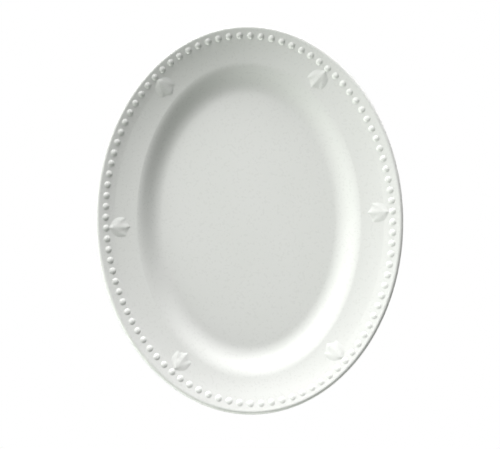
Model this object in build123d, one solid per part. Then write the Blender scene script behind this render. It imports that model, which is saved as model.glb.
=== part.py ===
"""Oval china serving platter with a beaded border, standing on its foot ring.

Millimetres, +Z up. Y runs along the length and X across the width. The origin is the centre of the
platter at the height of the foot's bearing face. Every contour is an ellipse inside the outline, named
by its inset at the ends. The rim is a little wider at the sides than at the ends, and the verge narrower.
"""

from build123d import *
import math
import os

# Overall size
LENGTH = 305.0
WIDTH = 242.0
HEIGHT = 24.5

# Insets from the outline, at the ends, at which one region of the body gives way to the next
EDGE_INSET = 3.4
BAND_INSET = 15.0
RIM_INSET = 28.2
WELL_INSET = 53.2

# The same two inner contours at the sides
RIM_SIDE_INSET = 32.5
WELL_SIDE_INSET = 52.9

# Rolled edge: a half-elliptical bull-nose
EDGE_NOSE_REACH = 2.4
EDGE_NOSE_HALF_HEIGHT = 2.2
EDGE_INNER_DROP = 0.2

# Rim: its slope falls from the bead band to the shoulder above the verge
BAND_SLOPE_DEG = 19.5
SHOULDER_SLOPE_DEG = 13.0
BODY_THICKNESS = 4.4

# Well and verge: the verge rolls smoothly over the shoulder and runs out level in a long cove
FOOT_HEIGHT = 3.0
FLOOR_THICKNESS = 4.6
VERGE_FACE_PULL = (8.7, 11.4)
VERGE_BACK_PULL = (8.0, 10.0)
VERGE_BACK_INSET = 50.5

# Foot ring: a tapered wall with a rounded, unglazed bearing edge
FOOT_ROOT = (51.0, 58.6)
FOOT_BEARING = (53.0, 55.6)
FOOT_CORNER = 0.9

# Bead border, pressed a little out of line with the outline: beads in each run, from motif to motif
RUN_BEADS = (15, 18, 15, 15, 18, 15)
BEAD_INSET = 8.4
BEAD_RADIUS = 2.8
BEAD_HEIGHT = 0.9
BORDER_TURN_DEG = 2.0

# Leaf motifs: a long middle leaf between two side leaves that spread into a fan, in low relief
LEAF_HEIGHT = 0.8
LEAF_CLEARANCE = 0.3
MIDDLE_LEAF = (16.0, 4.6)
SIDE_LEAF = (13.6, 4.2)
SIDE_LEAF_ROOT = 1.0
SIDE_LEAF_ANGLE_DEG = 31.0

# How finely the curved parts of a profile are divided
NOSE_STEPS = 14
RIM_STEPS = 5
VERGE_STEPS = 12

BAND_SLOPE = math.tan(math.radians(BAND_SLOPE_DEG))
SHOULDER_SLOPE = math.tan(math.radians(SHOULDER_SLOPE_DEG))
EDGE_TOP = HEIGHT - EDGE_INNER_DROP
BAND_BOTTOM = EDGE_TOP - BAND_SLOPE * (BAND_INSET - EDGE_INSET)
FLOOR_TOP = FOOT_HEIGHT + FLOOR_THICKNESS


def half_width(inset):
    """Half the width of the contour that lies at an inset from the outline at the ends."""
    if inset <= BAND_INSET:
        return WIDTH / 2 - inset
    if inset <= RIM_INSET:
        share = (inset - BAND_INSET) / (RIM_INSET - BAND_INSET)
        return WIDTH / 2 - BAND_INSET - share * (RIM_SIDE_INSET - BAND_INSET)
    share = (inset - RIM_INSET) / (WELL_INSET - RIM_INSET)
    return WIDTH / 2 - RIM_SIDE_INSET - share * (WELL_SIDE_INSET - RIM_SIDE_INSET)


def ellipse(inset, height):
    """The contour at one inset from the outline, as a closed edge."""
    plane = Plane.XY.offset(height)
    return Edge.make_ellipse(half_width(inset), LENGTH / 2 - inset, plane)


def wall(start, end):
    """The face between the contours at two (inset, height) points: flat if they are level, else ruled."""
    if start[1] != end[1]:
        return Face.make_surface_from_curves(ellipse(*start), ellipse(*end))
    outer, inner = sorted((start, end))
    return Face(Wire([ellipse(*outer)]), [Wire([ellipse(*inner)])])


def walls(points):
    """Faces between the contours at successive points."""
    return [wall(*pair) for pair in zip(points, points[1:])]


def closed_solid(faces):
    """One solid inside a closed set of faces, turned right side out."""
    solid = Solid(Shell(faces))
    return solid if solid.volume > 0 else Solid(Shell([-face for face in faces]))


def ring(points):
    """A ring whose section is the closed polygon through (inset, height) points."""
    return closed_solid(walls([*points, points[0]]))


def disc(inset, low, high):
    """An oval slab between two heights."""
    caps = [Face(Wire([ellipse(inset, height)])) for height in (low, high)]
    return closed_solid([*walls([(inset, low), (inset, high)]), *caps])


def verge_points(start, end, pulls):
    """Points of a cubic that leaves start at the shoulder's slope and runs out level at end."""
    (x0, z0), (x3, z3) = start, end
    x1, z1 = x0 + pulls[0], z0 - pulls[0] * SHOULDER_SLOPE
    x2, z2 = x3 - pulls[1], z3
    points = []
    for step in range(VERGE_STEPS + 1):
        t = step / VERGE_STEPS
        weights = ((1 - t) ** 3, 3 * t * (1 - t) ** 2, 3 * t * t * (1 - t), t**3)
        points.append(
            (
                sum(w * x for w, x in zip(weights, (x0, x1, x2, x3))),
                sum(w * z for w, z in zip(weights, (z0, z1, z2, z3))),
            )
        )
    return points


def band_height(inset):
    """Height of the straight band that carries the beads."""
    return EDGE_TOP - BAND_SLOPE * (inset - EDGE_INSET)


def rim_height(inset):
    """Height of the rim's face, from the rolled edge to the shoulder."""
    if inset <= BAND_INSET:
        return band_height(inset)
    run = inset - BAND_INSET
    slope_change = (BAND_SLOPE - SHOULDER_SLOPE) / (RIM_INSET - BAND_INSET)
    return BAND_BOTTOM - BAND_SLOPE * run + slope_change * run * run / 2


def rim_points(first_inset):
    """Points along the rim's face, from an inset on the bead band to the shoulder."""
    steps = [BAND_INSET + (RIM_INSET - BAND_INSET) * i / RIM_STEPS for i in range(RIM_STEPS + 1)]
    return [(inset, rim_height(inset)) for inset in (first_inset, *steps)]


def lowered(points, drop):
    """The same points, moved straight down."""
    return [(inset, height - drop) for inset, height in points]


def rolled_edge():
    """The rounded lip outside the bead band."""
    nose_height = HEIGHT - EDGE_NOSE_HALF_HEIGHT
    nose = []
    for step in range(NOSE_STEPS + 1):
        angle = math.pi * step / NOSE_STEPS
        inset = EDGE_NOSE_REACH * (1 - math.sin(angle))
        nose.append((inset, nose_height + EDGE_NOSE_HALF_HEIGHT * math.cos(angle)))
    inner_wall = [(EDGE_INSET, EDGE_TOP - BODY_THICKNESS), (EDGE_INSET, EDGE_TOP)]
    return ring([*nose, *inner_wall])


def rim():
    """The wide sloping flange, bead band included."""
    face = rim_points(EDGE_INSET)
    back = lowered(face, BODY_THICKNESS)
    return ring([*face, *reversed(back)])


def verge():
    """The curved wall between the rim's shoulder and the floor of the well."""
    shoulder = (RIM_INSET, rim_height(RIM_INSET))
    back_shoulder = (RIM_INSET, rim_height(RIM_INSET) - BODY_THICKNESS)
    face = verge_points(shoulder, (WELL_INSET, FLOOR_TOP), VERGE_FACE_PULL)
    back = verge_points(back_shoulder, (VERGE_BACK_INSET, FOOT_HEIGHT), VERGE_BACK_PULL)
    return ring([*face, (WELL_INSET, FOOT_HEIGHT), *reversed(back)])


def well():
    """The flat floor that carries the food."""
    return disc(WELL_INSET, FOOT_HEIGHT, FLOOR_TOP)


def foot_ring():
    """The raised ring under the well that the platter stands on."""
    (root_out, root_in), (bearing_out, bearing_in) = FOOT_ROOT, FOOT_BEARING
    half_corner = FOOT_CORNER * (1 - math.sqrt(0.5))
    return ring(
        [
            (root_out, FOOT_HEIGHT),
            (bearing_out - FOOT_CORNER, FOOT_CORNER),
            (bearing_out - FOOT_CORNER + half_corner, half_corner),
            (bearing_out, 0),
            (bearing_in, 0),
            (bearing_in + FOOT_CORNER - half_corner, half_corner),
            (bearing_in + FOOT_CORNER, FOOT_CORNER),
            (root_in, FOOT_HEIGHT),
        ]
    )


def border_stations():
    """Equally spaced places along the bead line, each with its inward direction."""
    line_across = WIDTH / 2 - BEAD_INSET
    line = Edge.make_ellipse(line_across, LENGTH / 2 - BEAD_INSET).rotate(Axis.Z, BORDER_TURN_DEG)
    turn = math.radians(BORDER_TURN_DEG)
    across_end = Vector(line_across * math.cos(turn), line_across * math.sin(turn), 0)
    start = line.param_at_point(across_end)
    count = sum(RUN_BEADS)
    stations = []
    for index in range(count):
        share = (start + index / count) % 1.0
        tangent = line.tangent_at(share)
        stations.append((line.position_at(share), Vector(-tangent.Y, tangent.X, 0)))
    return stations


def inset_of(point):
    """Inset of the contour through a point, found by halving."""
    low, high = 0.0, WIDTH / 4
    for _ in range(40):
        middle = (low + high) / 2
        scaled = math.hypot(point.X / half_width(middle), point.Y / (LENGTH / 2 - middle))
        low, high = (low, middle) if scaled > 1 else (middle, high)
    return low


def bead_runs():
    """Low domes standing on the bead band, one solid each, gathered into the runs between the motifs."""
    ball_radius = (BEAD_RADIUS**2 + BEAD_HEIGHT**2) / (2 * BEAD_HEIGHT)
    depth = ball_radius - BEAD_HEIGHT
    band = [(EDGE_INSET, band_height(EDGE_INSET)), (BAND_INSET, band_height(BAND_INSET))]
    above_band = ring([*band, *reversed(lowered(band, -2 * BEAD_HEIGHT))])
    tilt = math.radians(BAND_SLOPE_DEG)
    beads = []
    for place, inward in border_stations():
        surface = Vector(place.X, place.Y, band_height(inset_of(place)))
        upright = inward * math.sin(tilt) + Vector(0, 0, math.cos(tilt))
        ball = Solid.make_sphere(ball_radius, Plane(surface - upright * depth), -90, 90, 360)
        beads.append((ball & above_band).solids()[0])
    firsts = [sum(RUN_BEADS[:run]) for run in range(len(RUN_BEADS))]
    return [Compound(beads[first : first + count]) for first, count in zip(firsts, RUN_BEADS)]


def leaf(length, bulge):
    """A pointed leaf outline along +X, bounded by two arcs."""
    sides = [
        Edge.make_three_point_arc((0, 0, 0), (length / 2, side * bulge, 0), (length, 0, 0))
        for side in (-1, 1)
    ]
    return Face(Wire(sides))


def leaf_motifs():
    """Six three-leaved sprigs in low relief, one solid each, pointing inwards from the bead line."""
    side_leaf = leaf(*SIDE_LEAF)
    outline = leaf(*MIDDLE_LEAF)
    for sign in (-1, 1):
        outline = outline + Location((SIDE_LEAF_ROOT, 0, 0), (0, 0, sign * SIDE_LEAF_ANGLE_DEG)) * side_leaf
    face = rim_points((EDGE_INSET + BAND_INSET) / 2)
    relief_layer = ring([*face, *reversed(lowered(face, -LEAF_HEIGHT))])
    stations = border_stations()
    motifs = []
    for sector in range(len(RUN_BEADS)):
        place, inward = stations[sum(RUN_BEADS[:sector])]
        root = place + inward * (BEAD_RADIUS + LEAF_CLEARANCE)
        prism = extrude(Plane(root, x_dir=inward, z_dir=(0, 0, 1)) * outline, HEIGHT)
        motifs.append((prism & relief_layer).solids()[0])
    return Compound(motifs)


def main():
    os.makedirs("parts", exist_ok=True)
    for make in (well, verge, rim, rolled_edge, foot_ring, leaf_motifs):
        export_step(make(), f"parts/{make.__name__}.step")
    for number, run in enumerate(bead_runs(), 1):
        export_step(run, f"parts/bead_run_{number}.step")


main()
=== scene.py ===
"""The looks of the china serving platter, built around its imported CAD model.

Metres, in the CAD model's frame: +Z up, Y along the length. Each named piece of the platter is a closed
mesh of its own. The rim, verge and lip take their heights from one front profile and one back profile, so
that they meet flush.
"""

import math

import bmesh
import bpy
import numpy as np
from mathutils import Matrix, Vector


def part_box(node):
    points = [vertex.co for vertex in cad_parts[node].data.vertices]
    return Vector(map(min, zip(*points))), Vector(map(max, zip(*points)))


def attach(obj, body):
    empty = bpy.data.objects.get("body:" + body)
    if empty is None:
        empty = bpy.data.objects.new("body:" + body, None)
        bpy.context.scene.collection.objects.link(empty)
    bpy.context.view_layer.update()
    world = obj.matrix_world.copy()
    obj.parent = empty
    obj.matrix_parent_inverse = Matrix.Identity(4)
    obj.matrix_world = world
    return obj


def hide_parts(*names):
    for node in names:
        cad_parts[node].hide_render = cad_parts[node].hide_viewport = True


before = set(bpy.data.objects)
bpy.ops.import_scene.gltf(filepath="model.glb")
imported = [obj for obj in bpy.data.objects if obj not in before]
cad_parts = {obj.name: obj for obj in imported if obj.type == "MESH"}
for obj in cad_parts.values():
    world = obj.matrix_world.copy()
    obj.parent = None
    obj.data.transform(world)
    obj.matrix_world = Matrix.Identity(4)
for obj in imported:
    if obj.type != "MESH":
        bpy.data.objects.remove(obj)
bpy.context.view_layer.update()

MM = 0.001

# Fineness of the meshes and profiles
AROUND = 720
WELL_RINGS = 11
RIM_POINTS = 80
VERGE_STEPS = 60
NOSE_POINTS = 28
CREST_STEPS = 5
FOOT_WALL_STEPS = 10
FOOT_CORNER_STEPS = 6
BEAD_AROUND = 28
BEAD_CAP_POINTS = 9
BEAD_FILLET_POINTS = 6
PROFILE_STEP = 0.05 * MM
SLOPE_STEP = 0.05 * MM
LEAF_STEP = 0.2 * MM
RIM_STEPS = (0.55 * MM, 1.6 * MM)
VERGE_WALL_STEPS = (0.5 * MM, 0.9 * MM)
HALVINGS = 36

# Limits: how close points are one point, the least width to divide by, and how far an edge turns to be sharp
SAME_POINT = 0.001 * MM
LEAST_WIDTH = 0.001 * MM
SHARP_ANGLE = math.radians(50.0)

# Shape of the wall between the places that the frame gives. A pull is how far a curve's control point lies
# from the curve's end.
BAND_SLOPE = math.tan(math.radians(19.5))
SHOULDER_SLOPE = math.tan(math.radians(13.0))
BAND_INSET = 15.0 * MM
VERGE_FACE_PULL = (8.7 * MM, 11.4 * MM)
VERGE_BACK_PULL = (8.0 * MM, 10.0 * MM)
VERGE_BACK_INSET = 50.5 * MM
GLAZE_SOFTENING = 0.8 * MM

# Rolled edge: its rounded nose, and the crest's curve from the rim's face up to the nose
NOSE_REACH = 2.4 * MM
NOSE_HALF_HEIGHT = 2.2 * MM
CREST_START_PULL = (0.35 * MM, 0.1 * MM)
CREST_END_PULL = 0.4 * MM

# Foot ring: insets of its bearing face from its outline, its width, and the curves of its sides and corners
FOOT_BEARING = (2.0 * MM, 4.6 * MM)
FOOT_WIDTH = 7.6 * MM
FOOT_FLARE = 0.9 * MM
FOOT_CORNER = 0.9 * MM
FOOT_ROOT_PULL = 1.4 * MM
FOOT_SHANK_PULL = 0.4 * MM
FOOT_SHANK_SHARE = 0.6
FOOT_CORNER_PULL = (0.2 * MM, 0.3 * MM)
FOOT_BEARING_PULL = 0.4 * MM

# Relief, whose pieces reach down into the rim by the seat depth
BEAD_RADIUS = 2.6 * MM
BEAD_HEIGHT = 0.72 * MM
BEAD_FILLET = 1.3 * MM
BEAD_SINK = 0.02 * MM
LEAF_ROOT_GAP = 0.2 * MM
LEAF_CUT = 0.03 * MM
LEAF_SOFTENING = 0.5 * MM
LEAF_GRID_REACH = (-2.0 * MM, 18.0 * MM)
LEAF_GRID_HALF_WIDTH = 14.0 * MM
SEAT_DEPTH = 0.5 * MM

# Leaves of a motif: bearing off the motif's axis, root, length, half width and height
LEAVES = (
    (0.0, 0.0 * MM, 16.0 * MM, 4.4 * MM, 0.85 * MM),
    (math.radians(31.0), 1.0 * MM, 13.6 * MM, 4.2 * MM, 0.60 * MM),
    (math.radians(-31.0), 1.0 * MM, 13.6 * MM, 4.2 * MM, 0.60 * MM),
)
LEAF_BLEND = 2.5
LEAF_ROUNDNESS = 0.55

# Humps along a leaf and along the web between leaves: skew and fullness
LEAF_PLAN = (0.85, 0.8)
LEAF_RISE = (0.8, 0.5)
FAN_PLAN = (1.15, 0.7)
FAN_LENGTH = 15.0 * MM
FAN_HALF_WIDTH = 7.6 * MM
FAN_HEIGHT = 0.45 * MM

# Colours
BODY_COLOUR = (0.805, 0.822, 0.805)
BODY_CLOUD = (0.795, 0.814, 0.794)
RELIEF_COLOUR = (0.812, 0.83, 0.812)
RELIEF_CLOUD = (0.80, 0.82, 0.80)
BISQUE_DARK = (0.72, 0.69, 0.62)
BISQUE_PALE = (0.82, 0.80, 0.74)
TABLE_COLOUR = (0.85, 0.85, 0.85, 1)
WHITE = (1, 1, 1, 1)
SPECK_SHADE = 0.97

# Glaze: features per metre, and depths of what the light picks out in its surface
CLOUD_SCALE = 22.0
RIPPLE_SCALE = 55.0
PEEL_SCALE = 480.0
PINHOLE_SCALE = 210.0
PINHOLE_PATCH_SCALE = 90.0
BARE_EDGE_SCALE = 260.0
GRIT_SCALE = 1500.0
RIPPLE_DEPTH = 0.09 * MM
PEEL_DEPTH = 0.006 * MM
PINHOLE_DEPTH = 0.02 * MM
GRIT_DEPTH = 0.03 * MM
BARE_EDGE_WANDER = 0.5 * MM
BARE_EDGE_HEIGHTS = (0.62 * MM, 0.8 * MM)
GLAZE_ROUGHNESS = (0.26, 0.34)
BARE_ROUGHNESS = 0.85
GLAZE_IOR = 1.5
COAT_WEIGHT = 0.6
COAT_ROUGHNESS = 0.08

# The view: how far the platter is turned about the line of sight, tipped lengthwise and swung crosswise. The
# lens and the sensor are in millimetres.
VIEW_ROLL = math.radians(1.38)
VIEW_TIP = math.radians(-0.4)
VIEW_SWING = math.radians(5.3)
VIEW_DISTANCE = 1.486
VIEW_OFFSET = (1.80 * MM, -3.69 * MM)
LENS = 134.75
SENSOR_WIDTH = 36.0

# Light: two arcs of round soft boxes that face the platter, with bearings from +X and elevations in degrees
BOX_DISTANCE = 3.0
BOX_SIZE = 1.5
WINDOW_BEARINGS = (72.0, 128.0)
WINDOW_ELEVATIONS = (9.0, 29.0)
WINDOW_BOXES = 5
WINDOW_WATTS = 40.0
WINDOW_TINT = (1.0, 0.99, 0.98)
WALL_BEARINGS = (180.0, 276.0)
WALL_ELEVATIONS = (8.0, 18.0)
WALL_BOXES = 4
WALL_WATTS = 25.0
WALL_TINT = (0.965, 1.0, 0.93)
ROOM_STRENGTH = 0.02
FLOOR_HALF_SIDE = 6.0


# ---------------------------------------------------------------- places that the frame gives

def half_extents(node):
    """Half the width and half the length of a node, and its lowest and highest points."""
    low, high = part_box(node)
    return high.x, high.y, low.z, high.z


HALF_WIDTH, HALF_LENGTH, _, EDGE_HIGH = half_extents("rolled_edge")
_, rim_half_length, RIM_LOW, RIM_HIGH = half_extents("rim")
SHOULDER_HALF_WIDTH, verge_half_length, _, SHOULDER_HEIGHT = half_extents("verge")
WELL_HALF_WIDTH, well_half_length, FLOOR_LOW, FLOOR_HIGH = half_extents("well")
_, foot_half_length, FOOT_LOW, FOOT_HIGH = half_extents("foot_ring")

EDGE_INSET = HALF_LENGTH - rim_half_length
RIM_INSET = HALF_LENGTH - verge_half_length
WELL_INSET = HALF_LENGTH - well_half_length
FOOT_INSET = HALF_LENGTH - foot_half_length
BODY_THICKNESS = SHOULDER_HEIGHT - RIM_LOW


# ---------------------------------------------------------------- profiles

def bezier(points, steps):
    """Points along a cubic with four control points."""
    t = np.linspace(0, 1, steps + 1)[:, None]
    a, b, c, d = (np.array(p) for p in points)
    return (1 - t) ** 3 * a + 3 * t * (1 - t) ** 2 * b + 3 * t**2 * (1 - t) * c + t**3 * d


def verge_curve(height, pulls, end_inset, end_height):
    """The S-shaped wall, leaving the shoulder at the rim's slope and running out level."""
    first, last = pulls
    return bezier(
        [
            (RIM_INSET, height),
            (RIM_INSET + first, height - first * SHOULDER_SLOPE),
            (end_inset - last, end_height),
            (end_inset, end_height),
        ],
        VERGE_STEPS,
    )


def rim_curve(top):
    """The rim's slope from its top height, straight under the beads and easing towards the shoulder."""
    inset = np.linspace(EDGE_INSET, RIM_INSET, RIM_POINTS)
    run = np.maximum(inset - BAND_INSET, 0)
    ease = (BAND_SLOPE - SHOULDER_SLOPE) / (RIM_INSET - BAND_INSET)
    return np.c_[inset, top - BAND_SLOPE * (inset - EDGE_INSET) + ease * run**2 / 2]


def smoothing_weights(softening, step, reach):
    """Weights of a bell curve, at steps up to reach on each side of its middle."""
    weights = np.exp(-0.5 * (np.arange(-reach, reach + 1) * step / softening) ** 2)
    return weights / weights.sum()


def softened(points):
    """Evenly spaced insets and heights of a profile, its corners rounded as a fired glaze rounds them."""
    inset = np.arange(EDGE_INSET, HALF_WIDTH, PROFILE_STEP)
    height = np.interp(inset, points[:, 0], points[:, 1])
    reach = int(4 * GLAZE_SOFTENING / PROFILE_STEP)
    start = height[0] - (height[1] - height[0]) * np.arange(reach, 0, -1)
    padded = np.r_[start, height, np.full(reach, height[-1])]
    return inset, np.convolve(padded, smoothing_weights(GLAZE_SOFTENING, PROFILE_STEP, reach), "valid")


front_points = np.vstack(
    [
        rim_curve(RIM_HIGH),
        verge_curve(SHOULDER_HEIGHT, VERGE_FACE_PULL, WELL_INSET, FLOOR_HIGH)[1:],
        [(HALF_WIDTH, FLOOR_HIGH)],
    ]
)
back_points = np.vstack(
    [
        rim_curve(RIM_HIGH - BODY_THICKNESS),
        verge_curve(RIM_LOW, VERGE_BACK_PULL, VERGE_BACK_INSET, FLOOR_LOW)[1:],
        [(HALF_WIDTH, FLOOR_LOW)],
    ]
)
FRONT = softened(front_points)
BACK = softened(back_points)


def front_height(inset):
    """Height of the platter's face at an inset from the outline."""
    return np.interp(inset, *FRONT)


def back_height(inset):
    """Height of the platter's back at an inset from the outline."""
    return np.interp(inset, *BACK)


def half_width_at(inset):
    """Half the width of the contour that lies at an inset from the outline at the ends."""
    far_inset = 2 * WELL_INSET - RIM_INSET
    far_half_width = 2 * WELL_HALF_WIDTH - SHOULDER_HALF_WIDTH
    stations = (
        (0, HALF_WIDTH),
        (BAND_INSET, HALF_WIDTH - BAND_INSET),
        (RIM_INSET, SHOULDER_HALF_WIDTH),
        (WELL_INSET, WELL_HALF_WIDTH),
        (far_inset, far_half_width),
    )
    return np.interp(inset, *zip(*stations))


def inset_at(x, y):
    """Inset of the contour that passes through each point, found by halving."""
    low = np.zeros_like(x)
    high = np.full_like(x, WELL_INSET)
    for _ in range(HALVINGS):
        middle = (low + high) / 2
        outside = np.hypot(x / half_width_at(middle), y / (HALF_LENGTH - middle)) > 1
        low = np.where(outside, low, middle)
        high = np.where(outside, middle, high)
    return low


# ---------------------------------------------------------------- meshes

def finished(name, vertices, faces, node, slot_name):
    """A smooth-shaded piece that stands for a CAD node."""
    mesh = bpy.data.meshes.new(name)
    mesh.from_pydata(np.asarray(vertices).tolist(), [], faces)
    mesh.validate()
    work = bmesh.new()
    work.from_mesh(mesh)
    bmesh.ops.recalc_face_normals(work, faces=work.faces)
    for face in work.faces:
        face.smooth = True
    for edge in work.edges:
        if len(edge.link_faces) == 2 and edge.calc_face_angle() > SHARP_ANGLE:
            edge.smooth = False
    work.to_mesh(mesh)
    work.free()
    piece = bpy.data.objects.new(name, mesh)
    bpy.context.scene.collection.objects.link(piece)
    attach(piece, "root")
    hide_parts(node)
    return piece


def angles(count):
    """Angles evenly spaced around a circle."""
    return np.arange(count) * 2 * math.pi / count


def ring_faces(first, second, count):
    """Quads between two rings of points, given the number of each ring's first point."""
    pairs = [(i, (i + 1) % count) for i in range(count)]
    return [(first + i, first + j, second + j, second + i) for i, j in pairs]


def cap_faces(first, point, count):
    """Triangles that join a ring of points to one point."""
    return [(first + i, first + (i + 1) % count, point) for i in range(count)]


def contour(inset, height):
    """The ring of points at an inset, level at a height."""
    angle = angles(AROUND)
    x = half_width_at(inset) * np.cos(angle)
    y = (HALF_LENGTH - inset) * np.sin(angle)
    return np.c_[x, y, np.full(AROUND, height)]


def ring_mesh(section):
    """Vertices and faces of a ring with a closed section of (inset, height) points."""
    vertices = np.vstack([contour(*point) for point in section])
    rows = len(section)
    faces = []
    for row in range(rows):
        faces += ring_faces(row * AROUND, (row + 1) % rows * AROUND, AROUND)
    return vertices, faces


def steps_between(start, end, step):
    """Insets from start to end at about a step apart, both ends included."""
    return np.linspace(start, end, max(2, int(round(abs(end - start) / step)) + 1))


def slab_section(start, end, steps):
    """The closed section of the wall between two insets, with the steps of its face and of its back."""
    front_step, back_step = steps
    front = [(d, front_height(d)) for d in steps_between(start, end, front_step)]
    back = [(d, back_height(d)) for d in steps_between(end, start, back_step)]
    return front + back


def rolled_edge():
    """The rounded lip: a half-round nose, a flat inner end against the rim, and a crest that joins them."""
    middle = EDGE_HIGH - NOSE_HALF_HEIGHT
    turn = np.linspace(0, math.pi, NOSE_POINTS)
    nose = [(NOSE_REACH * (1 - math.sin(a)), middle + NOSE_HALF_HEIGHT * math.cos(a)) for a in turn]
    top, low = front_height(EDGE_INSET), back_height(EDGE_INSET)
    inner = [(EDGE_INSET, low), (EDGE_INSET, (top + low) / 2)]
    crest = bezier(
        [
            (EDGE_INSET, top),
            (EDGE_INSET - CREST_START_PULL[0], top + CREST_START_PULL[1]),
            (NOSE_REACH + CREST_END_PULL, EDGE_HIGH),
            nose[0],
        ],
        CREST_STEPS,
    )
    section = nose + inner + [tuple(p) for p in crest[:-1]]
    return finished("rolled_lip", *ring_mesh(section), "rolled_edge", "glazed_china")


def rim():
    """The sloping flange."""
    section = slab_section(EDGE_INSET, RIM_INSET, RIM_STEPS)
    return finished("rim_flange", *ring_mesh(section), "rim", "glazed_china")


def verge():
    """The curved wall between the flange and the well."""
    section = slab_section(RIM_INSET, WELL_INSET, VERGE_WALL_STEPS)
    return finished("verge_wall", *ring_mesh(section), "verge", "glazed_china")


def well():
    """The floor of the well: rings that shrink to a middle point, front and back."""
    shares = np.sin(np.linspace(math.pi / 2, 0, WELL_RINGS + 1))[:-1]
    levels = [(share, FLOOR_HIGH) for share in shares[::-1]] + [(share, FLOOR_LOW) for share in shares]
    rings = [contour(WELL_INSET, height) * (share, share, 1) for share, height in levels]
    vertices = np.vstack([*rings, [(0, 0, FLOOR_HIGH), (0, 0, FLOOR_LOW)]])
    top_point, low_point = len(vertices) - 2, len(vertices) - 1
    last = (len(levels) - 1) * AROUND
    faces = cap_faces(0, top_point, AROUND) + cap_faces(last, low_point, AROUND)
    for row in range(len(levels) - 1):
        faces += ring_faces(row * AROUND, (row + 1) * AROUND, AROUND)
    return finished("well_floor", vertices, faces, "well", "glazed_china")


def foot_side(root, edge, side):
    """One side of the foot's section, from the underside down to the bearing face."""
    shank = edge - side * FOOT_CORNER
    wall = bezier(
        [
            (root, back_height(root)),
            (root + side * FOOT_ROOT_PULL, FOOT_HIGH),
            (shank - side * FOOT_SHANK_PULL, FOOT_HIGH * FOOT_SHANK_SHARE),
            (shank, FOOT_CORNER),
        ],
        FOOT_WALL_STEPS,
    )
    corner = bezier(
        [
            (shank, FOOT_CORNER),
            (shank + side * FOOT_CORNER_PULL[0], FOOT_CORNER_PULL[1]),
            (edge - side * FOOT_BEARING_PULL, FOOT_LOW),
            (edge, FOOT_LOW),
        ],
        FOOT_CORNER_STEPS,
    )
    return [tuple(p) for p in np.vstack([wall, corner[1:]])]


def foot_ring():
    """A tapered ring, rounded where it bears and filleted where it leaves the underside."""
    outer_root = FOOT_INSET - FOOT_FLARE
    inner_root = FOOT_INSET + FOOT_WIDTH + FOOT_FLARE
    outer = foot_side(outer_root, FOOT_INSET + FOOT_BEARING[0], 1)
    inner = foot_side(inner_root, FOOT_INSET + FOOT_BEARING[1], -1)
    seat = [(inner_root, FOOT_HIGH + SEAT_DEPTH), (outer_root, back_height(outer_root) + SEAT_DEPTH)]
    section = outer + inner[::-1] + seat
    return finished("foot", *ring_mesh(section), "foot_ring", "foot_china")


# ---------------------------------------------------------------- relief

def islands(node):
    """The middle of each separate solid of a CAD node."""
    work = bmesh.new()
    work.from_mesh(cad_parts[node].data)
    bmesh.ops.remove_doubles(work, verts=work.verts, dist=SAME_POINT)
    seen, middles = set(), []
    for first in work.verts:
        if first.index in seen:
            continue
        seen.add(first.index)
        group, waiting = [], [first]
        while waiting:
            vertex = waiting.pop()
            group.append(tuple(vertex.co))
            for edge in vertex.link_edges:
                other = edge.other_vert(vertex)
                if other.index not in seen:
                    seen.add(other.index)
                    waiting.append(other)
        spread = np.array(group)
        middles.append((spread.min(0) + spread.max(0)) / 2)
    work.free()
    return np.array(middles)


RUN_NODES = sorted(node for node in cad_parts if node.startswith("bead_run_"))
RUN_PLACES = {node: islands(node) for node in RUN_NODES}
BEAD_PLACES = np.vstack(list(RUN_PLACES.values()))
LEAF_PLACES = islands("leaf_motifs")


def face_height(x, y):
    """Height of the platter's face over points x, y."""
    return front_height(inset_at(x, y))


def surface_frame(x, y):
    """Points on the face at x, y, and the face's normals there."""
    slope_x = (face_height(x + SLOPE_STEP, y) - face_height(x - SLOPE_STEP, y)) / (2 * SLOPE_STEP)
    slope_y = (face_height(x, y + SLOPE_STEP) - face_height(x, y - SLOPE_STEP)) / (2 * SLOPE_STEP)
    normals = np.stack([-slope_x, -slope_y, np.ones_like(x)], -1)
    normals /= np.linalg.norm(normals, axis=-1, keepdims=True)
    return np.stack([x, y, face_height(x, y)], -1), normals


def dome_profile():
    """Radii and heights of a bead's rings: a ball's cap, then a small fillet whose foot is just sunk in."""
    ball = (BEAD_RADIUS**2 + BEAD_HEIGHT**2) / (2 * BEAD_HEIGHT)
    depth = ball - BEAD_HEIGHT
    foot_radius = math.sqrt((ball + BEAD_FILLET) ** 2 - (depth + BEAD_FILLET) ** 2)
    meet = math.atan2(foot_radius, depth + BEAD_FILLET)
    cap_angle = np.linspace(0, meet, BEAD_CAP_POINTS)[1:]
    fillet_angle = np.linspace(meet, 0, BEAD_FILLET_POINTS)[1:]
    radius = np.r_[ball * np.sin(cap_angle), foot_radius - BEAD_FILLET * np.sin(fillet_angle)]
    height = np.r_[ball * np.cos(cap_angle) - depth, BEAD_FILLET * (1 - np.cos(fillet_angle))]
    height[-1] = -BEAD_SINK
    return radius, height


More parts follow.
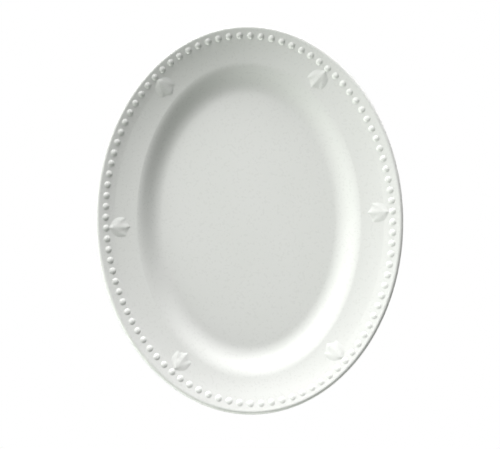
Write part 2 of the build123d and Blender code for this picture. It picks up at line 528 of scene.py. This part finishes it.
def bead_run(node):
    """The beads of one run, each a dome set into the rim."""
    radius, height = dome_profile()
    angle = angles(BEAD_AROUND)
    vertices, faces = [], []
    for x, y, _ in RUN_PLACES[node]:
        points, _ = surface_frame(x + np.outer(radius, np.cos(angle)), y + np.outer(radius, np.sin(angle)))
        middles, uprights = surface_frame(np.array([x]), np.array([y]))
        middle, upright = middles[0], uprights[0]
        start = len(vertices)
        vertices.extend((points + height[:, None, None] * upright).reshape(-1, 3))
        vertices.extend(points[-1] - SEAT_DEPTH * upright)
        crown = len(vertices)
        vertices.append(middle + BEAD_HEIGHT * upright)
        vertices.append(middle - SEAT_DEPTH * upright)
        base = crown - BEAD_AROUND
        for ring in range(start, base, BEAD_AROUND):
            faces += ring_faces(ring, ring + BEAD_AROUND, BEAD_AROUND)
        faces += cap_faces(start, crown, BEAD_AROUND) + cap_faces(base, crown + 1, BEAD_AROUND)
    return finished(node.replace("bead_run", "beads"), vertices, faces, node, "glazed_relief")


def hump(share, skew, fullness):
    """A rise and fall between shares 0 and 1, skewed towards 0 when skew is under 1."""
    return np.sin(math.pi * share**skew) ** fullness


def one_leaf(u, v, bearing, root, length, half_width, height):
    """Height of one keeled leaf over the motif's plane, u inwards from the motif's root and v across."""
    along = ((u - root) * math.cos(bearing) + v * math.sin(bearing)) / length
    across = np.abs(v * math.cos(bearing) - (u - root) * math.sin(bearing))
    inside = np.clip(along, 0, 1)
    width = half_width * hump(inside, *LEAF_PLAN)
    share = np.clip(across / np.maximum(width, LEAST_WIDTH), 0, 1)
    crown = LEAF_ROUNDNESS * (1 - share**2) + (1 - LEAF_ROUNDNESS) * (1 - share)
    return np.where((along > 0) & (along < 1), height * crown * hump(inside, *LEAF_RISE), 0)


def fan(u, v):
    """Height of the low web that fills the space between the leaves."""
    along = np.clip(u / FAN_LENGTH, 0, 1)
    width = FAN_HALF_WIDTH * hump(along, *FAN_PLAN)
    share = np.clip(np.abs(v) / np.maximum(width, LEAST_WIDTH), 0, 1)
    return FAN_HEIGHT * (1 - share**2)


def leaf_relief(u, v):
    """Height of the whole motif: its leaves and web merged, then rounded as the glaze rounds them."""
    layers = [fan(u, v), *(one_leaf(u, v, *leaf) for leaf in LEAVES)]
    height = sum(layer**LEAF_BLEND for layer in layers) ** (1 / LEAF_BLEND)
    reach = int(3 * LEAF_SOFTENING / LEAF_STEP) + 1
    weights = smoothing_weights(LEAF_SOFTENING, LEAF_STEP, reach)
    for axis in (0, 1):
        height = np.apply_along_axis(np.convolve, axis, height, weights, "same")
    return height


def sheet_faces(kept):
    """Which points of a grid a closed sheet over its kept points uses, and the sheet's faces.

    The front's points are numbered first, then the back's in the same order.
    """
    quads = kept[:-1, :-1] & kept[1:, :-1] & kept[:-1, 1:] & kept[1:, 1:]
    used = np.zeros(kept.shape, bool)
    for di, dj in ((0, 0), (1, 0), (0, 1), (1, 1)):
        used[di : di + quads.shape[0], dj : dj + quads.shape[1]] |= quads
    count = int(used.sum())
    number = np.zeros(kept.shape, int)
    number[used] = np.arange(count)
    faces, edges = [], []
    for i, j in zip(*np.nonzero(quads)):
        corners = [int(number[c]) for c in ((i, j), (i + 1, j), (i + 1, j + 1), (i, j + 1))]
        faces.append(tuple(corners))
        faces.append(tuple(count + c for c in reversed(corners)))
        edges += zip(corners, corners[1:] + corners[:1])
    shared = set(edges)
    faces += [(b, a, count + a, count + b) for a, b in edges if (b, a) not in shared]
    return used, faces


def leaf_motifs():
    """The sprigs, each rooted beside the bead nearest to it and draped inwards over the rim."""
    u = np.arange(*LEAF_GRID_REACH, LEAF_STEP)
    v = np.arange(-LEAF_GRID_HALF_WIDTH, LEAF_GRID_HALF_WIDTH + LEAF_STEP / 2, LEAF_STEP)
    grid_u, grid_v = np.meshgrid(u, v, indexing="ij")
    height = leaf_relief(grid_u, grid_v)
    used, sheet = sheet_faces(height > LEAF_CUT)
    vertices, faces = [], []
    for place in LEAF_PLACES:
        nearest = BEAD_PLACES[np.argmin(np.hypot(*(BEAD_PLACES - place)[:, :2].T))]
        inward = (place - nearest)[:2] / np.hypot(*(place - nearest)[:2])
        across = np.array([-inward[1], inward[0]])
        root = nearest[:2] + inward * (BEAD_RADIUS + LEAF_ROOT_GAP)
        x = root[0] + grid_u * inward[0] + grid_v * across[0]
        y = root[1] + grid_u * inward[1] + grid_v * across[1]
        points, normals = surface_frame(x, y)
        top = points + (height - LEAF_CUT)[..., None] * normals
        low = points - SEAT_DEPTH * normals
        start = len(vertices)
        vertices.extend(top[used])
        vertices.extend(low[used])
        faces += [tuple(start + c for c in face) for face in sheet]
    return finished("leaf_sprigs", vertices, faces, "leaf_motifs", "glazed_relief")


# ---------------------------------------------------------------- materials

def node_of(tree, kind, inputs=None, **settings):
    """A new shader node with its settings and unlinked inputs filled in."""
    node = tree.nodes.new(kind)
    for key, value in settings.items():
        setattr(node, key, value)
    for key, value in (inputs or {}).items():
        node.inputs[key].default_value = value
    return node


def blend_colour(tree, factor, low, high):
    """Low colour where factor is 0, high colour where it is 1."""
    mix = node_of(tree, "ShaderNodeMix", data_type="RGBA")
    tree.links.new(factor, mix.inputs["Factor"])
    for name, value in (("A", low), ("B", high)):
        socket = [s for s in mix.inputs if s.name == name and s.type == "RGBA"][0]
        if isinstance(value, tuple):
            socket.default_value = (*value, 1)
        else:
            tree.links.new(value, socket)
    return [s for s in mix.outputs if s.type == "RGBA"][0]


def noise(tree, coordinates, scale, detail, roughness, seed):
    """A noise value over the object, scale in features per metre."""
    node = node_of(
        tree,
        "ShaderNodeTexNoise",
        {"Scale": scale, "Detail": detail, "Roughness": roughness, "W": seed},
        noise_dimensions="4D",
    )
    tree.links.new(coordinates, node.inputs["Vector"])
    return node.outputs["Fac"]


def ramp(tree, value, low, high, out_low=0.0, out_high=1.0):
    """The value's range low..high mapped smoothly to out_low..out_high."""
    node = node_of(
        tree,
        "ShaderNodeMapRange",
        {"From Min": low, "From Max": high, "To Min": out_low, "To Max": out_high},
        interpolation_type="SMOOTHSTEP",
    )
    tree.links.new(value, node.inputs["Value"])
    return node.outputs["Result"]


def bump(tree, height, distance, strength, normal=None):
    """A bump of a real depth in metres."""
    node = node_of(tree, "ShaderNodeBump", {"Distance": distance, "Strength": strength})
    tree.links.new(height, node.inputs["Height"])
    if normal:
        tree.links.new(normal, node.inputs["Normal"])
    return node.outputs["Normal"]


def pinhole_mask(tree, place):
    """1 in a few small round pinholes, 0 elsewhere."""
    cells = node_of(tree, "ShaderNodeTexVoronoi", {"Scale": PINHOLE_SCALE, "Randomness": 1.0})
    tree.links.new(place, cells.inputs["Vector"])
    patches = noise(tree, place, PINHOLE_PATCH_SCALE, detail=1.0, roughness=0.5, seed=4.0)
    both = node_of(tree, "ShaderNodeMath", operation="MULTIPLY")
    tree.links.new(ramp(tree, cells.outputs["Distance"], 0.04, 0.09, 1.0, 0.0), both.inputs[0])
    tree.links.new(ramp(tree, patches, 0.64, 0.72), both.inputs[1])
    return both.outputs[0]


def bare_clay(tree, place, colour, roughness, normal):
    """The glaze's colour, roughness and normal, changed to dry clay below an uneven line."""
    height = node_of(tree, "ShaderNodeSeparateXYZ")
    tree.links.new(place, height.inputs["Vector"])
    wander = noise(tree, place, BARE_EDGE_SCALE, detail=3.0, roughness=0.6, seed=5.0)
    edge = node_of(tree, "ShaderNodeMath", operation="MULTIPLY_ADD")
    edge.inputs[1].default_value = BARE_EDGE_WANDER
    tree.links.new(wander, edge.inputs[0])
    tree.links.new(height.outputs["Z"], edge.inputs[2])
    bare = ramp(tree, edge.outputs[0], *BARE_EDGE_HEIGHTS, 1.0, 0.0)
    grit = noise(tree, place, GRIT_SCALE, detail=4.0, roughness=0.7, seed=6.0)
    bisque = blend_colour(tree, ramp(tree, grit, 0.35, 0.7), BISQUE_DARK, BISQUE_PALE)
    rough_mix = node_of(tree, "ShaderNodeMix", data_type="FLOAT")
    tree.links.new(bare, rough_mix.inputs["Factor"])
    tree.links.new(roughness, rough_mix.inputs["A"])
    rough_mix.inputs["B"].default_value = BARE_ROUGHNESS
    colour = blend_colour(tree, bare, colour, bisque)
    return colour, rough_mix.outputs["Result"], bump(tree, grit, GRIT_DEPTH, 0.4, normal)


def glazed_china(name, body, cloud, bare_foot=False):
    """White body under a clear gloss glaze: faint clouding, a rippled surface and a few pinholes."""
    material = bpy.data.materials.new(name)
    material.use_nodes = True
    tree = material.node_tree
    shader = tree.nodes["Principled BSDF"]
    place = node_of(tree, "ShaderNodeTexCoord").outputs["Object"]

    clouds = noise(tree, place, CLOUD_SCALE, detail=3.0, roughness=0.55, seed=1.0)
    colour = blend_colour(tree, ramp(tree, clouds, 0.35, 0.68), body, cloud)
    pinholes = pinhole_mask(tree, place)
    colour = blend_colour(tree, pinholes, colour, tuple(SPECK_SHADE * c for c in body))

    ripple = noise(tree, place, RIPPLE_SCALE, detail=2.0, roughness=0.45, seed=2.0)
    peel = noise(tree, place, PEEL_SCALE, detail=2.0, roughness=0.5, seed=3.0)
    roughness = ramp(tree, peel, 0.3, 0.7, *GLAZE_ROUGHNESS)
    normal = bump(tree, ripple, RIPPLE_DEPTH, 0.6)
    normal = bump(tree, peel, PEEL_DEPTH, 0.5, normal)
    normal = bump(tree, ramp(tree, pinholes, 0.0, 1.0, 1.0, 0.0), PINHOLE_DEPTH, 0.25, normal)
    if bare_foot:
        colour, roughness, normal = bare_clay(tree, place, colour, roughness, normal)

    tree.links.new(colour, shader.inputs["Base Color"])
    tree.links.new(roughness, shader.inputs["Roughness"])
    tree.links.new(normal, shader.inputs["Normal"])
    shader.inputs["IOR"].default_value = GLAZE_IOR
    if not bare_foot:
        shader.inputs["Coat Weight"].default_value = COAT_WEIGHT
        shader.inputs["Coat Roughness"].default_value = COAT_ROUGHNESS
        shader.inputs["Coat IOR"].default_value = GLAZE_IOR
        tree.links.new(normal, shader.inputs["Coat Normal"])
    return material


def shade_for_camera(tree, output, lighting, seen):
    """Give the camera one shader and all other rays another."""
    path = node_of(tree, "ShaderNodeLightPath")
    mix = node_of(tree, "ShaderNodeMixShader")
    tree.links.new(path.outputs["Is Camera Ray"], mix.inputs[0])
    tree.links.new(lighting.outputs[0], mix.inputs[1])
    tree.links.new(seen.outputs[0], mix.inputs[2])
    tree.links.new(mix.outputs[0], output.inputs["Surface"])


def floor_material():
    """A pale table that reflects light on to the platter, but looks plain white to the camera."""
    material = bpy.data.materials.new("pale_table")
    material.use_nodes = True
    tree = material.node_tree
    tree.nodes.clear()
    output = node_of(tree, "ShaderNodeOutputMaterial")
    table = node_of(tree, "ShaderNodeBsdfDiffuse", {"Color": TABLE_COLOUR})
    glow = node_of(tree, "ShaderNodeEmission", {"Color": WHITE, "Strength": 1.0})
    shade_for_camera(tree, output, table, glow)
    return material


# ---------------------------------------------------------------- stage, light and camera

def floor():
    """The table that the platter stands on."""
    mesh = bpy.data.meshes.new("floor")
    side = FLOOR_HALF_SIDE
    corners = [(-side, -side, 0), (side, -side, 0), (side, side, 0), (-side, side, 0)]
    mesh.from_pydata(corners, [], [(0, 1, 2, 3)])
    piece = bpy.data.objects.new("floor", mesh)
    bpy.context.scene.collection.objects.link(piece)
    mesh.materials.append(floor_material())


def soft_box_arc(name, bearings, elevations, count, watts, tint):
    """Equal soft boxes, evenly spaced from the first bearing and elevation to the last."""
    turns = np.radians(np.linspace(*bearings, count))
    rises = np.radians(np.linspace(*elevations, count))
    for number, (bearing, elevation) in enumerate(zip(turns, rises)):
        data = bpy.data.lights.new(f"{name}_{number}", "AREA")
        data.shape = "DISK"
        data.size = BOX_SIZE
        data.energy = watts
        data.color = tint
        light = bpy.data.objects.new(data.name, data)
        level = BOX_DISTANCE * math.cos(elevation)
        light.location = (
            level * math.cos(bearing),
            level * math.sin(bearing),
            BOX_DISTANCE * math.sin(elevation),
        )
        light.rotation_euler = (-light.location).to_track_quat("-Z", "Y").to_euler()
        bpy.context.scene.collection.objects.link(light)


def soft_boxes():
    """A window past the platter's far end, higher to the left, and a pale wall about its near left side."""
    soft_box_arc("window", WINDOW_BEARINGS, WINDOW_ELEVATIONS, WINDOW_BOXES, WINDOW_WATTS, WINDOW_TINT)
    soft_box_arc("wall", WALL_BEARINGS, WALL_ELEVATIONS, WALL_BOXES, WALL_WATTS, WALL_TINT)


def surroundings():
    """A dark room that looks white to the camera."""
    world = bpy.data.worlds.new("room")
    world.use_nodes = True
    tree = world.node_tree
    tree.nodes.clear()
    output = node_of(tree, "ShaderNodeOutputWorld")
    room = node_of(tree, "ShaderNodeBackground", {"Color": WHITE, "Strength": ROOM_STRENGTH})
    white = node_of(tree, "ShaderNodeBackground", {"Color": WHITE, "Strength": 1.0})
    shade_for_camera(tree, output, room, white)
    bpy.context.scene.world = world
    bpy.context.scene.view_settings.view_transform = "Standard"


def camera():
    """Nearly straight above the platter, with its length upright in the picture."""
    data = bpy.data.cameras.new("camera")
    data.sensor_width = SENSOR_WIDTH
    data.lens = LENS
    tip = Matrix.Rotation(VIEW_TIP, 3, "X")
    swing = Matrix.Rotation(VIEW_SWING, 3, "Y")
    roll = Matrix.Rotation(VIEW_ROLL, 3, "Z")
    to_world = (tip @ swing @ roll).transposed()
    eye = to_world @ Vector((*VIEW_OFFSET, VIEW_DISTANCE))
    place = bpy.data.objects.new("camera", data)
    place.matrix_world = Matrix.Translation(eye) @ to_world.to_4x4()
    bpy.context.scene.collection.objects.link(place)
    bpy.context.scene.camera = place


# ---------------------------------------------------------------- the scene

camera()
body_glaze = glazed_china("glazed_china", BODY_COLOUR, BODY_CLOUD)
relief_glaze = glazed_china("glazed_relief", RELIEF_COLOUR, RELIEF_CLOUD)
foot_glaze = glazed_china("foot_china", BODY_COLOUR, BODY_CLOUD, bare_foot=True)
for make in (rolled_edge, rim, verge, well):
    make().data.materials.append(body_glaze)
foot_ring().data.materials.append(foot_glaze)
leaf_motifs().data.materials.append(relief_glaze)
for run_node in RUN_NODES:
    bead_run(run_node).data.materials.append(relief_glaze)
floor()
soft_boxes()
surroundings()
